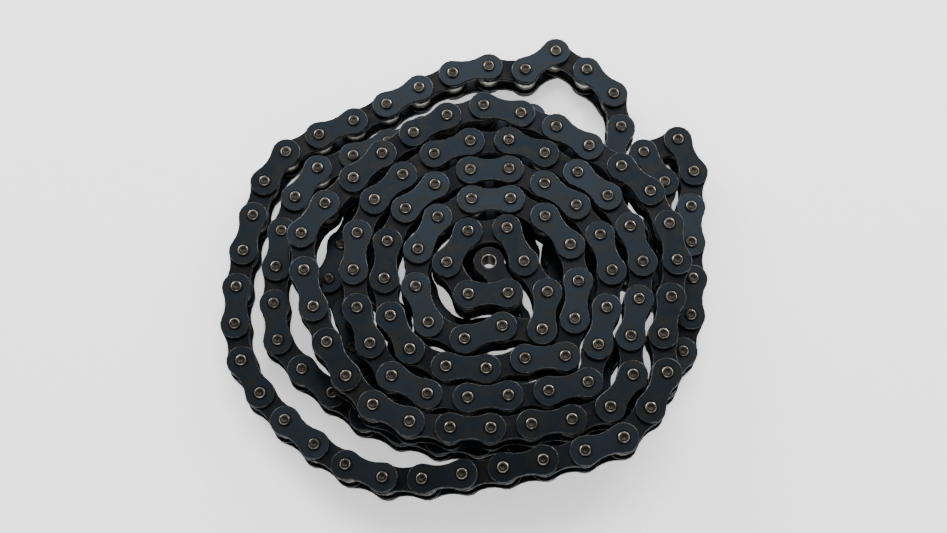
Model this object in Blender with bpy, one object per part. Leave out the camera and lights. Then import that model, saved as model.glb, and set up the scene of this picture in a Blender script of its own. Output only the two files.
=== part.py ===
"""Heap of roller chain: one long chain of 12.7 mm pitch, coiled in two layers on a level floor.

The joints are numbered along the chain from the free end at the middle of the upper coil. Even links are
inner links (plates, bushes and rollers) and odd links are outer links (plates and pins). The first two
links are made piece by piece. The rest is in short runs, each ending at a joint of the chain.
"""
import functools
import math

import bmesh
import bpy
import numpy as np
from mathutils import Matrix, Vector

MM = 0.001

# Chain, in millimetres.
PITCH = 12.7
LOBE_RADIUS = 4.95
WAIST_HALF = 3.6
PLAIN_REACH = 4.05
PLAIN_HALF = 3.55
INNER_PLATE_IN = 3.1
INNER_PLATE_OUT = 4.55
OUTER_PLATE_IN = 4.45
OUTER_PLATE_OUT = 5.9
PIN_HALF = 6.75
PIN_RADIUS = 1.9
ROLLER_RADIUS = 3.885
CORE_HALF = 4.0
JOINT_GAP = 0.45
RUN_GAP = 0.3
RUN_SIDES = 6
RUN_LOBE_POINTS = 4
MITRE_LIMIT = 1.15

# Two layers, in millimetres, with the ramp between them given as joint numbers.
LAYER_RISE = 13.0
RAMP_TOP = 91
RAMP_FOOT = 101

# Marks along the chain: joint number, X and Y in millimetres.
INNER_TURN = ((0, 5, -1), (1, 11, -12), (2, -2, -12), (3, -8, -1), (4, -2, 10), (5, 10.5, 10), (6, 16.5, -1),
              (7, 23, -12), (8, 21, -25), (9, 9, -24), (10, -3, -27.5), (11, -14.5, -21), (12, -18, -9))
SECOND_TURN = ((14, -12.5, 15), (16, 11, 20), (18, 30, 4.5), (20, 31, -20), (21, 28.5, -32), (22, 15.5, -32),
               (24, -9.5, -37), (26, -27, -19.5), (28, -28, 5.5), (30, -13, 26))
THIRD_TURN = ((32, 11, 32), (34, 33, 18.5), (36, 44.5, -4), (38, 39, -28.5), (39, 37, -41), (40, 25, -44.5),
              (42, -1, -46), (44, -25, -40.5), (46, -36, -17.5), (48, -37, 7), (50, -22.5, 27.5))
FOURTH_TURN = ((52, 0, 40), (54, 24, 35), (56, 45, 20), (58, 55, -3), (60, 48.5, -27), (61, 50.5, -39.5),
               (62, 43, -50), (64, 18, -55), (66, -7, -56), (68, -31.5, -49), (70, -46.5, -28.5),
               (72, -54.5, -4), (73, -56, 8), (74, -48.5, 18.5), (76, -29.5, 36), (78, -9, 50))
OUTER_TURN = ((79, 3.5, 54), (80, 15.5, 51), (82, 38, 39), (84, 58, 23), (86, 66, -0.5), (88, 59.5, -26),
              (89, 61.5, -38), (90, 55.5, -50), (91, 46.5, -60), (92, 34.5, -63.5), (94, 10, -68),
              (96, -15, -71), (97, -27.5, -71), (98, -40, -66), (100, -60, -51), (102, -75.5, -31),
              (104, -78, -5.5), (106, -73.5, 19.5), (107, -70.5, 32), (108, -63.5, 43), (110, -40.5, 54),
              (112, -18.5, 66.5), (113, -7, 72), (114, 5, 74.5))
LOOSE_BEND = ((115, 18, 73), (116, 28, 81), (117, 39, 73.5), (118, 48.5, 65), (119, 51, 52), (120, 46, 39.5),
              (121, 47.5, 26.5), (122, 48.5, 13.5), (123, 50.5, 0.5), (124, 60.5, -7), (125, 62, 6),
              (126, 61.5, 19), (127, 65, 32), (128, 57, 43), (129, 69, 48))
LOWER_RING = ((130, 74.5, 36), (131, 72.5, 23), (132, 72, 10.5), (133, 72.5, -2), (134, 71.5, -14.5),
              (135, 69.5, -27.5), (136, 64, -39), (137, 52, -46.5), (138, 40, -52), (140, 14, -57.5),
              (142, -12, -57.5), (144, -36, -48.5), (145, -46.5, -40.5), (146, -56, -33.5), (147, -64.5, -24),
              (148, -65.5, -11), (150, -64, 14), (151, -60, 26), (152, -53, 37), (153, -40.5, 41),
              (154, -29.5, 46), (156, -5.5, 55.5), (157, 7, 58), (158, 19.5, 58.5), (159, 29, 47))
LOWER_MIDDLE = ((160, 35, 34.5), (161, 36, 21.5), (163, 39, -4), (164, 41, -16.5), (165, 42.5, -28.5),
                (166, 37, -40), (167, 27, -44.5), (168, 15, -46), (170, -10.5, -45), (172, -32.5, -36),
                (174, -42, -15.5), (175, -45.5, -3), (176, -43.5, 9), (178, -30, 29), (180, -7, 40),
                (182, 18, 42))
LOWER_CENTRE = ((183, 25, 32), (185, 27, 7), (187, 30, -18), (188, 25, -28.5), (190, 0, -34.5),
                (191, -12, -32.5), (192, -21.5, -27.5), (193, -26, -16.5), (194, -30.5, -5), (196, -27, 18.5),
                (198, -5, 30), (200, 15.5, 20), (201, 17.5, 7), (202, 10.5, -4.5), (203, 13.5, -16.5),
                (204, 2, -21), (205, -10.5, -18), (206, -16.5, -7), (207, -18, 6), (208, -14.5, 18),
                (209, -2, 20), (210, -1, 7), (211, -2.5, -6))
MARKS = (INNER_TURN + SECOND_TURN + THIRD_TURN + FOURTH_TURN + OUTER_TURN + LOOSE_BEND + LOWER_RING
         + LOWER_MIDDLE + LOWER_CENTRE)

# How the chain settles between its marks.
SETTLE_ROUNDS = 700
HOLD = 0.06
PUSH = 0.3
SIDE_GAP = 0.35
CLOSE = 16.0
TURN_APART = 2.5
PITCH_PASSES = 4
BEADS = ((0.0, LOBE_RADIUS), (0.25, 4.3), (0.5, 3.7), (0.75, 4.3))

# Runs: the joints at which one node ends and the next begins.
UPPER_CUTS = (2, 4, 6, 8, 10, 14, 18, 22, 26, 30, 34, 38, 42, 46, 50, 54, 58, 62, 66, 72, 78, 84, 90, 96,
              102, 108, 114, 120)
RING_CUTS = ((126, 130, 136), (144, 150, 154))
CORE_CUTS = ((120, 126), (136, 140, 144), (154, 160, 166, 172, 178, 182, 186, 190, 194, 198, 202, 206, 211))

# Free end, in millimetres.
BUSH_RADIUS = 2.45
BUSH_BORE = 2.1
PLATE_BORE = 2.72
ROLLER_BORE = 2.8
END_PIN_RADIUS = 1.79
PIN_PLATE_BORE = 2.1
FIRST_PLATE_IN = 4.5
SHANK_HALF = 6.65
HEAD_IN = 6.05
HEAD_RADIUS = 2.35
ROUND_SIDES = 12
END_LOBE_POINTS = 7

# Helpers, in millimetres: how far a cutter passes its piece, and how near doubled points are merged.
CUT_SPARE = 1.0
MERGE = 0.001

# Round pieces are shaded smooth up to this angle between their faces.
SMOOTH_ANGLE = math.radians(35.0)


def marks_to_targets():
    """A smooth line through the marks, with one point for each joint."""
    numbers = np.array([mark[0] for mark in MARKS], dtype=float)
    points = np.array([mark[1:] for mark in MARKS], dtype=float)
    slopes = np.empty_like(points)
    slopes[1:-1] = (points[2:] - points[:-2]) / (numbers[2:] - numbers[:-2])[:, None]
    slopes[0] = (points[1] - points[0]) / (numbers[1] - numbers[0])
    slopes[-1] = (points[-1] - points[-2]) / (numbers[-1] - numbers[-2])
    joints = np.arange(numbers[-1] + 1)
    left = np.clip(np.searchsorted(numbers, joints, side="right") - 1, 0, len(numbers) - 2)
    step = (numbers[left + 1] - numbers[left])[:, None]
    t = (joints - numbers[left])[:, None] / step
    start = (1 + 2 * t) * (1 - t) ** 2 * points[left] + t * (1 - t) ** 2 * step * slopes[left]
    end = t * t * (3 - 2 * t) * points[left + 1] + t * t * (t - 1) * step * slopes[left + 1]
    return start + end


def joint_heights(count):
    """Middle height of the chain at each joint: on the upper layer, down the ramp, on the floor."""
    t = np.clip((RAMP_FOOT - np.arange(count)) / (RAMP_FOOT - RAMP_TOP), 0.0, 1.0)
    return PIN_HALF + LAYER_RISE * t * t * (3 - 2 * t)


def bead_weights(count):
    """Beads along the chain, for keeping turns apart: weights on the joints, radii, places, in joints."""
    rows = []
    radii = []
    places = []
    for link in range(count):
        for part, radius in BEADS:
            if link + part <= count - 1:
                row = np.zeros(count)
                row[link] = 1.0 - part
                if part > 0.0:
                    row[link + 1] = part
                rows.append(row)
                radii.append(radius)
                places.append(link + part)
    return np.array(rows), np.array(radii), np.array(places)


def push_apart(points, weights, pairs, reach):
    """Moves joints so that beads of different turns in one layer keep their distance."""
    beads = weights @ points
    away = beads[pairs[0]] - beads[pairs[1]]
    distance = np.sqrt((away ** 2).sum(1)) + 1e-9
    shift = away * (PUSH * np.maximum(reach - distance, 0.0) / distance)[:, None]
    moved = np.zeros_like(beads)
    np.add.at(moved, pairs[0], shift)
    np.add.at(moved, pairs[1], -shift)
    return points + weights.T @ moved


def hold_pitch(points, flat):
    """Brings each pair of joints back to one pitch, first the even links and then the odd ones."""
    for first in (0, 1):
        a = points[first:-1:2]
        b = points[first + 1::2]
        a = a[:len(b)]
        line = b - a
        length = np.sqrt((line ** 2).sum(1))
        fix = 0.5 * (1.0 - flat[first::2][:len(b)] / length)[:, None] * line
        points[first:first + 2 * len(b):2] += fix
        points[first + 1::2] -= fix
    return points


def settle_chain():
    """Plan and height of each joint, in millimetres, with every pair one pitch apart."""
    targets = marks_to_targets()
    count = len(targets)
    heights = joint_heights(count)
    flat = np.sqrt(PITCH ** 2 - np.diff(heights) ** 2)
    weights, radii, places = bead_weights(count)
    beads = weights @ np.column_stack([targets, heights])
    spread = np.abs(beads[:, None, :] - beads[None, :, :])
    level = spread[:, :, 2] < 2 * OUTER_PLATE_OUT + RUN_GAP
    close = np.hypot(spread[:, :, 0], spread[:, :, 1]) < CLOSE
    apart = np.abs(places[:, None] - places[None, :]) >= TURN_APART
    pairs = np.nonzero(np.triu(apart & level & close))
    reach = radii[pairs[0]] + radii[pairs[1]] + SIDE_GAP
    points = targets.copy()
    for step in range(SETTLE_ROUNDS):
        points += HOLD * (1.0 - step / SETTLE_ROUNDS) * (targets - points)
        points = push_apart(points, weights, pairs, reach)
        for _ in range(PITCH_PASSES):
            points = hold_pitch(points, flat)
    for joint in range(count - 1):
        line = points[joint + 1] - points[joint]
        points[joint + 1] = points[joint] + line * (flat[joint] / math.hypot(*line))
    return np.column_stack([points, heights])


def lobe_outline(radius, waist, points):
    """Outline of a link plate along +X from its first pin, with points round each lobe and two waists."""
    angles = [math.pi / 2 + math.pi * step / (points - 1) for step in range(points)]
    first = tuple((radius * math.cos(angle), radius * math.sin(angle)) for angle in angles)
    second = tuple((PITCH - x, -y) for x, y in first)
    return first + ((PITCH / 2, -waist),) + second + ((PITCH / 2, waist),)


def plain_outline():
    """Outline of a plate that its neighbours cover in part: two corners to a lobe and two waists."""
    first = ((-PLAIN_REACH, PLAIN_HALF), (-PLAIN_REACH, -PLAIN_HALF))
    second = tuple((PITCH - x, -y) for x, y in first)
    return first + ((PITCH / 2, -WAIST_HALF),) + second + ((PITCH / 2, WAIST_HALF),)


def link_frame(route, link):
    """Frame of a link, in millimetres: its first pin, X towards its second pin and Z along the pins."""
    first = Vector(route[link])
    along = (Vector(route[link + 1]) - first).normalized()
    side = Vector((0.0, 0.0, 1.0)).cross(along).normalized()
    up = along.cross(side)
    frame = Matrix.Identity(4)
    for row in range(3):
        frame[row] = (along[row], side[row], up[row], first[row])
    return frame


def place_on_link(frame, x, z):
    """Transform, in metres, of a point on a link's X axis at a height over its middle."""
    place = frame.copy()
    place.translation = frame @ Vector((x, 0.0, z)) * MM
    return place


def centre_route(route):
    """Moves the chain so that the middle of its plates' outline is over the origin."""
    lobes = lobe_outline(LOBE_RADIUS, WAIST_HALF, RUN_LOBE_POINTS)
    outlines = (plain_outline(), plain_outline() + lobes)
    corners = []
    for link in range(2, len(route) - 1):
        frame = link_frame(route, link)
        corners += [frame @ Vector((x, y, 0.0)) for x, y in outlines[link % 2]]
    for axis in (0, 1):
        values = [corner[axis] for corner in corners]
        route[:, axis] -= (min(values) + max(values)) / 2
    return route


def outline_curve(outline, thickness):
    """A filled 2D curve of an outline, as thick as the shape that it makes."""
    curve = bpy.data.curves.new("outline", "CURVE")
    curve.dimensions = "2D"
    curve.fill_mode = "BOTH"
    curve.extrude = thickness / 2 * MM
    spline = curve.splines.new("POLY")
    spline.points.add(len(outline) - 1)
    for point, (x, y) in zip(spline.points, outline):
        point.co = (x * MM, y * MM, 0.0, 1.0)
    spline.use_cyclic_u = True
    return curve


@functools.lru_cache(maxsize=None)
def flat_shape(outline, thickness):
    """A closed flat shape round its own plane, as a mesh, with each face in one piece."""
    obj = bpy.data.objects.new("outline", outline_curve(outline, thickness))
    bpy.context.scene.collection.objects.link(obj)
    evaluated = obj.evaluated_get(bpy.context.evaluated_depsgraph_get())
    data = bpy.data.meshes.new_from_object(evaluated)
    bpy.data.objects.remove(obj)
    mesh = bmesh.new()
    mesh.from_mesh(data)
    bmesh.ops.remove_doubles(mesh, verts=mesh.verts, dist=MERGE * MM)
    bmesh.ops.dissolve_limit(mesh, angle_limit=MERGE, verts=mesh.verts, edges=mesh.edges)
    bmesh.ops.recalc_face_normals(mesh, faces=mesh.faces)
    mesh.to_mesh(data)
    mesh.free()
    return data


def add_flat(mesh, frame, outline, low, high):
    """Adds a flat shape to a mesh, from an outline in a link's frame, between two heights."""
    before = len(mesh.verts)
    mesh.from_mesh(flat_shape(outline, high - low))
    mesh.verts.ensure_lookup_table()
    place = place_on_link(frame, 0.0, (low + high) / 2)
    bmesh.ops.transform(mesh, matrix=place, verts=mesh.verts[before:])


def add_round(mesh, frame, centre, radius, sides, low, high):
    """Adds a cylinder to a mesh, on a link's X axis and with a corner on it, between two heights."""
    place = place_on_link(frame, centre, (low + high) / 2) @ Matrix.Rotation(math.pi / 2, 4, "Z")
    bmesh.ops.create_cone(mesh, cap_ends=True, segments=sides, radius1=radius * MM, radius2=radius * MM,
                          depth=(high - low) * MM, matrix=place)


def make_object(name, mesh, collection, material, place):
    """Turns a bmesh into an object with its origin at a place, such as on a joint's axis."""
    bmesh.ops.transform(mesh, matrix=place.inverted(), verts=mesh.verts)
    data = bpy.data.meshes.new(name)
    mesh.to_mesh(data)
    mesh.free()
    data.shade_smooth()
    data.set_sharp_from_angle(angle=SMOOTH_ANGLE)
    obj = bpy.data.objects.new(name, data)
    collection.objects.link(obj)
    obj.matrix_world = place
    if material is not None:
        data.materials.append(material)
    return obj


def make_material(name, colour, metallic, roughness):
    """A plain Principled material."""
    material = bpy.data.materials.new(name)
    material.use_nodes = True
    shader = material.node_tree.nodes["Principled BSDF"]
    shader.inputs["Base Color"].default_value = (*colour, 1.0)
    shader.inputs["Metallic"].default_value = metallic
    shader.inputs["Roughness"].default_value = roughness
    return material


def boolean(obj, helper, operation):
    """Adds an exact Boolean with a hidden helper object."""
    modifier = obj.modifiers.new(helper.name, "BOOLEAN")
    modifier.operation = operation
    modifier.solver = "EXACT"
    modifier.object = helper
    helper.hide_render = True
    helper.display_type = "WIRE"


def run_plates(route, first, last, parity, low, high):
    """Both plates of each inner or outer link of a run. Only the upper outer plates have full lobes."""
    mesh = bmesh.new()
    upper = lobe_outline(LOBE_RADIUS, WAIST_HALF, RUN_LOBE_POINTS) if parity else plain_outline()
    for link in range(first, last):
        if link % 2 == parity:
            frame = link_frame(route, link)
            thin = JOINT_GAP if link == first else 0.0
            add_flat(mesh, frame, upper, low, high - thin)
            add_flat(mesh, frame, plain_outline(), thin - high, -low)
    return mesh


def add_rollers(mesh, frame, starts_run):
    """Adds an inner link's two rollers. The second one of a run's first link reaches its outer plates."""
    for centre, tall in ((0.0, False), (PITCH, starts_run)):
        half = (OUTER_PLATE_IN if tall else INNER_PLATE_IN) + RUN_GAP
        add_round(mesh, frame, centre, ROLLER_RADIUS, RUN_SIDES, -half, half)


def add_pin_ends(mesh, frame, on_floor):
    """Adds the riveted ends of an outer link's two pins. The lower ends are made only on the floor."""
    for centre in (0.0, PITCH):
        add_round(mesh, frame, centre, PIN_RADIUS, RUN_SIDES, OUTER_PLATE_OUT - RUN_GAP, PIN_HALF)
        if on_floor:
            add_round(mesh, frame, centre, PIN_RADIUS, RUN_SIDES, -PIN_HALF, RUN_GAP - OUTER_PLATE_OUT)


def run_rounds(route, first, last):
    """Rollers of a run's inner links and riveted pin ends of its outer links."""
    mesh = bmesh.new()
    for link in range(first, last):
        frame = link_frame(route, link)
        if link % 2 == 0:
            add_rollers(mesh, frame, link == first)
        else:
            add_pin_ends(mesh, frame, route[link][2] < PIN_HALF + RUN_GAP)
    return mesh


def build_run(name, route, first, last, parts, helpers, material):
    """A run of the chain as one solid: outer plates joined to inner plates, rollers and pin ends."""
    place = place_on_link(link_frame(route, first), 0.0, 0.0)
    outer = run_plates(route, first, last, 1, OUTER_PLATE_IN, OUTER_PLATE_OUT)
    inner = run_plates(route, first, last, 0, INNER_PLATE_IN, INNER_PLATE_OUT)
    rounds = run_rounds(route, first, last)
    obj = make_object(name, outer, parts, material, place)
    boolean(obj, make_object(name + "_inner_plates", inner, helpers, None, place), "UNION")
    boolean(obj, make_object(name + "_rounds", rounds, helpers, None, place), "UNION")
    return obj


def plan_direction(route, joint):
    """Direction of the chain in plan from a joint to the next one."""
    return (Vector(route[joint + 1][:2]) - Vector(route[joint][:2])).normalized()


def strip_sides(route, first, last, trims):
    """Both edges of a core strip in plan, mitred at each joint and at the strips before and after it."""
    points = [Vector(route[joint][:2]) for joint in range(first, last + 1)]
    ways = [plan_direction(route, joint) for joint in range(first, last)]
    before = ways[0] if trims[0] else plan_direction(route, first - 1)
    after = plan_direction(route, last) if trims[1] == RUN_GAP and last + 1 < len(route) else ways[-1]
    points[0] += ways[0] * trims[0]
    points[-1] -= ways[-1] * trims[1]
    sides = ([], [])
    for point, way_in, way_out in zip(points, [before] + ways, ways + [after]):
        middle = (way_in + way_out).normalized()
        normal = Vector((-middle.y, middle.x)) * CORE_HALF * min(1.0 / middle.dot(way_in), MITRE_LIMIT)
        sides[0].append(point + normal)
        sides[1].append(point - normal)
    return sides


def build_core(name, route, first, last, trims, parts, material):
    """A plain strip of the chain's mean width and its height, for a run that the upper layer hides."""
    left, right = strip_sides(route, first, last, trims)
    outline = tuple((spot.x, spot.y) for spot in left + right[::-1])
    mesh = bmesh.new()
    add_flat(mesh, Matrix.Identity(4), outline, 0.0, PIN_HALF + OUTER_PLATE_OUT)
    place = Matrix.Translation((route[first][0] * MM, route[first][1] * MM, 0.0))
    return make_object(name, mesh, parts, material, place)


def bore(obj, frame, holes, half, helpers):
    """Cuts holes along a link's pins, each given as a place along X and a radius."""
    mesh = bmesh.new()
    for place, radius in holes:
        add_round(mesh, frame, place, radius, ROUND_SIDES, -half, half)
    cutter = make_object(obj.name + "_bores", mesh, helpers, None, obj.matrix_world.copy())
    boolean(obj, cutter, "DIFFERENCE")


def build_plate(name, frame, span, bore_radius, origin, parts, helpers, material):
    """A link plate with its two holes, and its origin on a pin of the link."""
    mesh = bmesh.new()
    outline = lobe_outline(LOBE_RADIUS, WAIST_HALF, END_LOBE_POINTS)
    add_flat(mesh, frame, outline, span[0], span[1])
    obj = make_object(name, mesh, parts, material, place_on_link(frame, origin, 0.0))
    bore(obj, frame, ((0.0, bore_radius), (PITCH, bore_radius)), OUTER_PLATE_OUT + CUT_SPARE, helpers)


def build_sleeve(name, frame, centre, radii, half, origin, parts, helpers, material):
    """A bush or a roller, from its outer and inner radius, with its origin on a pin of the link."""
    mesh = bmesh.new()
    add_round(mesh, frame, centre, radii[0], ROUND_SIDES, -half, half)
    obj = make_object(name, mesh, parts, material, place_on_link(frame, origin, 0.0))
    bore(obj, frame, ((centre, radii[1]),), half + CUT_SPARE, helpers)


def build_end_link(route, parts, helpers, dark, bright):
    """The free end: an inner link with its two plates, bushes and rollers."""
    frame = link_frame(route, 0)
    low = INNER_PLATE_IN
    high = INNER_PLATE_OUT - RUN_GAP
    build_plate("end_inner_plate_upper", frame, (low, high), PLATE_BORE, PITCH, parts, helpers, dark)
    build_plate("end_inner_plate_lower", frame, (-high, -low), PLATE_BORE, PITCH, parts, helpers, dark)
    bush = (BUSH_RADIUS, BUSH_BORE)
    roller = (ROLLER_RADIUS, ROLLER_BORE)
    half = INNER_PLATE_IN - RUN_GAP
    for label, centre in (("free", 0.0), ("hinged", PITCH)):
        build_sleeve(f"end_bush_{label}", frame, centre, bush, high, PITCH, parts, helpers, bright)
        build_sleeve(f"end_roller_{label}", frame, centre, roller, half, centre, parts, helpers, bright)


def build_pin(name, frame, centre, parts, helpers, material):
    """A riveted pin: a shank through the link and a head outside each plate."""
    place = place_on_link(frame, centre, 0.0)
    mesh = bmesh.new()
    add_round(mesh, frame, centre, END_PIN_RADIUS, ROUND_SIDES, -SHANK_HALF, SHANK_HALF)
    heads = bmesh.new()
    add_round(heads, frame, centre, HEAD_RADIUS, ROUND_SIDES, HEAD_IN, PIN_HALF)
    add_round(heads, frame, centre, HEAD_RADIUS, ROUND_SIDES, -PIN_HALF, -HEAD_IN)
    obj = make_object(name, mesh, parts, material, place)
    boolean(obj, make_object(name + "_heads", heads, helpers, None, place), "UNION")


def build_first_outer_link(route, parts, helpers, blued, bright):
    """The first outer link, with its two plates and two riveted pins."""
    frame = link_frame(route, 1)
    low = FIRST_PLATE_IN
    high = OUTER_PLATE_OUT
    build_plate("first_outer_plate_upper", frame, (low, high), PIN_PLATE_BORE, 0.0, parts, helpers, blued)
    build_plate("first_outer_plate_lower", frame, (-high, -low), PIN_PLATE_BORE, 0.0, parts, helpers, blued)
    build_pin("hinge_pin_first", frame, 0.0, parts, helpers, bright)
    build_pin("hinge_pin_second", frame, PITCH, parts, helpers, bright)


def core_trims(first, last):
    """Room at the ends of a core strip: a lobe beside a detailed run, a small gap beside another strip."""
    detailed = {joint for cuts in (UPPER_CUTS,) + RING_CUTS for joint in (cuts[0], cuts[-1])}
    at_start = LOBE_RADIUS + RUN_GAP if first in detailed else 0.0
    if last in detailed:
        return at_start, LOBE_RADIUS + RUN_GAP
    return at_start, RUN_GAP


def build_upper_runs(route, parts, helpers, material):
    """The upper coil, the ramp, the outer turn and the loose bend. The first run is bored for a hinge pin."""
    for number, (first, last) in enumerate(zip(UPPER_CUTS, UPPER_CUTS[1:]), 1):
        run = build_run(f"upper_run_{number:02d}", route, first, last, parts, helpers, material)
        if number == 1:
            bore(run, link_frame(route, 1), ((PITCH, BUSH_BORE),), OUTER_PLATE_OUT, helpers)


def build_lower_layer(route, parts, helpers, blued, dark):
    """The runs of the lower ring that show, and the core strips for the rest of the layer."""
    runs = [pair for cuts in RING_CUTS for pair in zip(cuts, cuts[1:])]
    for number, (first, last) in enumerate(runs, 1):
        build_run(f"lower_ring_run_{number}", route, first, last, parts, helpers, blued)
    strips = [pair for cuts in CORE_CUTS for pair in zip(cuts, cuts[1:])]
    for number, (first, last) in enumerate(strips, 1):
        build_core(f"lower_core_{number:02d}", route, first, last, core_trims(first, last), parts, dark)


def build_heap():
    """Builds the whole heap."""
    for obj in list(bpy.data.objects):
        bpy.data.objects.remove(obj, do_unlink=True)
    parts = bpy.data.collections.new("roller_chain_heap")
    helpers = bpy.data.collections.new("helpers")
    for collection in (parts, helpers):
        bpy.context.scene.collection.children.link(collection)
    blued = make_material("blued_steel", (0.035, 0.05, 0.06), 1.0, 0.35)
    dark = make_material("dark_steel", (0.04, 0.035, 0.035), 1.0, 0.4)
    bright = make_material("bright_steel", (0.5, 0.49, 0.47), 1.0, 0.3)
    route = centre_route(settle_chain())
    build_end_link(route, parts, helpers, dark, bright)
    build_first_outer_link(route, parts, helpers, blued, bright)
    build_upper_runs(route, parts, helpers, blued)
    build_lower_layer(route, parts, helpers, blued, dark)


build_heap()
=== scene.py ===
"""Heap of roller chain, dressed: every link of a 12.7 mm chain, coiled in two layers on a pale floor."""
import functools
import math

import bmesh
import bpy
import numpy as np
from bpy.props import FloatProperty, FloatVectorProperty, PointerProperty
from mathutils import Matrix, Vector


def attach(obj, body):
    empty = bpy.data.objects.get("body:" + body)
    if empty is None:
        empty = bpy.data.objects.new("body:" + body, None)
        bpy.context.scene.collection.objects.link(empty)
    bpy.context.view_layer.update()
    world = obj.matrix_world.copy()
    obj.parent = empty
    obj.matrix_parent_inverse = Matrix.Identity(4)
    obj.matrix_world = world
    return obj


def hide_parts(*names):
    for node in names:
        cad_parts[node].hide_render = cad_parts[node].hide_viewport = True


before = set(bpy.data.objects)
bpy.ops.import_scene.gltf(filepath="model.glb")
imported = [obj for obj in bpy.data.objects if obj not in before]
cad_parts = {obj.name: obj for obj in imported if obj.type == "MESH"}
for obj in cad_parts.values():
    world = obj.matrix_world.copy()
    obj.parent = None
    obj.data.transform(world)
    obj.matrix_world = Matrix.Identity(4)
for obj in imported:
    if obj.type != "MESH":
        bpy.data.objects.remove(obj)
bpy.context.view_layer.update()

bl_info = {
    "name": "Roller chain heap",
    "version": (1, 0, 0),
    "blender": (4, 5, 0),
    "location": "3D View > Sidebar > Chain heap",
    "description": "Builds a coiled heap of roller chain from its plates, pins and rollers",
    "category": "Object",
}

MM = 0.001

# Across the chain, in millimetres: how far each face and end is from the middle of the links.
PITCH = 12.7
INNER_PLATE_IN = 3.1
INNER_PLATE_OUT = 4.42
OUTER_PLATE_IN = 4.56
OUTER_PLATE_OUT = 5.9
PIN_HALF = 6.75
ROLLER_HALF = 2.95

# Wear is kept on the faces, from 0 on open faces to 1 where parts rub or a tool has struck them.

# Blanked edge of a plate: the share of its thickness that the die sheared smooth, how far its corner rolls
# over as a share of the edge's width, and the wear of its three bands.
SHEARED_BAND = 0.4
CORNER_DROP = 0.6
PLATE_EDGE_WEAR = (1.0, 0.2, 0.5)
LOBE_POINTS = 12
WAIST_POINTS = 3

# A pin: how thin its lower end is, the steps in from its radius with their heights up to its top, the radii
# and heights of the dimple there, in millimetres, and the wear of the bands between them.
PIN_LOWER_SHARE = 0.93
PIN_HEAD = ((0.0, 6.3), (0.08, 6.58), (0.34, PIN_HALF))
PIN_DIMPLE = ((0.62, PIN_HALF), (0.36, 6.5))
PIN_WEAR = (0.0, 0.6, 1.0, 0.0, 0.0)
PIN_SIDES = 14

# A roller's rounded edge, in millimetres, and the wear of its edges and ends.
ROLLER_EDGE = 0.3
ROLLER_EDGE_WEAR = 0.6
ROLLER_END_WEAR = 0.3
ROLLER_SIDES = 16

# The free end, in millimetres. Small gaps keep a bush clear of its plates and of its roller.
BUSH_OUTSIDE = 2.45
BUSH_INSIDE = 2.1
BUSH_EDGE = 0.15
BUSH_GAP = 0.03
BUSH_PROUD = 0.02
BUSH_END_WEAR = 0.3
BUSH_RIM_WEAR = 0.8
ROLLER_BORE_GAP = 0.06
PLATE_BORE = 2.5
PLATE_BORE_WEAR = 0.2
FREE_SIDES = 32
FREE_WAIST_POINTS = 7
# Shade of the free link, between the darkest link, 0, and the lightest, 1.
FREE_LINK_TONE = 0.6

# Edges sharper than this many degrees stay crisp.
CREASE_ANGLE = 32.0

# Room that the chain keeps round its lobes, between its turns and between its layers, in millimetres.
LOBE_ROOM = 4.95
SIDE_GAP = 0.35
LAYER_CLEARANCE = 0.3

# Two layers, in millimetres, with the ramp between them given as joint numbers.
LAYER_RISE = 13.0
RAMP_TOP = 91
RAMP_FOOT = 101

# Marks along the chain: joint number, X and Y in millimetres.
INNER_TURN = ((0, 5, -1), (1, 11, -12), (2, -2, -12), (3, -8, -1), (4, -2, 10), (5, 10.5, 10), (6, 16.5, -1),
              (7, 23, -12), (8, 21, -25), (9, 9, -24), (10, -3, -27.5), (11, -14.5, -21), (12, -18, -9))
SECOND_TURN = ((14, -12.5, 15), (16, 11, 20), (18, 30, 4.5), (20, 31, -20), (21, 28.5, -32), (22, 15.5, -32),
               (24, -9.5, -37), (26, -27, -19.5), (28, -28, 5.5), (30, -13, 26))
THIRD_TURN = ((32, 11, 32), (34, 33, 18.5), (36, 44.5, -4), (38, 39, -28.5), (39, 37, -41), (40, 25, -44.5),
              (42, -1, -46), (44, -25, -40.5), (46, -36, -17.5), (48, -37, 7), (50, -22.5, 27.5))
FOURTH_TURN = ((52, 0, 40), (54, 24, 35), (56, 45, 20), (58, 55, -3), (60, 48.5, -27), (61, 50.5, -39.5),
               (62, 43, -50), (64, 18, -55), (66, -7, -56), (68, -31.5, -49), (70, -46.5, -28.5),
               (72, -54.5, -4), (73, -56, 8), (74, -48.5, 18.5), (76, -29.5, 36), (78, -9, 50))
OUTER_TURN = ((79, 3.5, 54), (80, 15.5, 51), (82, 38, 39), (84, 58, 23), (86, 66, -0.5), (88, 59.5, -26),
              (89, 61.5, -38), (90, 55.5, -50), (91, 46.5, -60), (92, 34.5, -63.5), (94, 10, -68),
              (96, -15, -71), (97, -27.5, -71), (98, -40, -66), (100, -60, -51), (102, -75.5, -31),
              (104, -78, -5.5), (106, -73.5, 19.5), (107, -70.5, 32), (108, -63.5, 43), (110, -40.5, 54),
              (112, -18.5, 66.5), (113, -7, 72), (114, 5, 74.5))
LOOSE_BEND = ((115, 18, 73), (116, 28, 81), (117, 39, 73.5), (118, 48.5, 65), (119, 51, 52), (120, 46, 39.5),
              (121, 47.5, 26.5), (122, 48.5, 13.5), (123, 50.5, 0.5), (124, 60.5, -7), (125, 62, 6),
              (126, 61.5, 19), (127, 65, 32), (128, 57, 43), (129, 69, 48))
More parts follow.
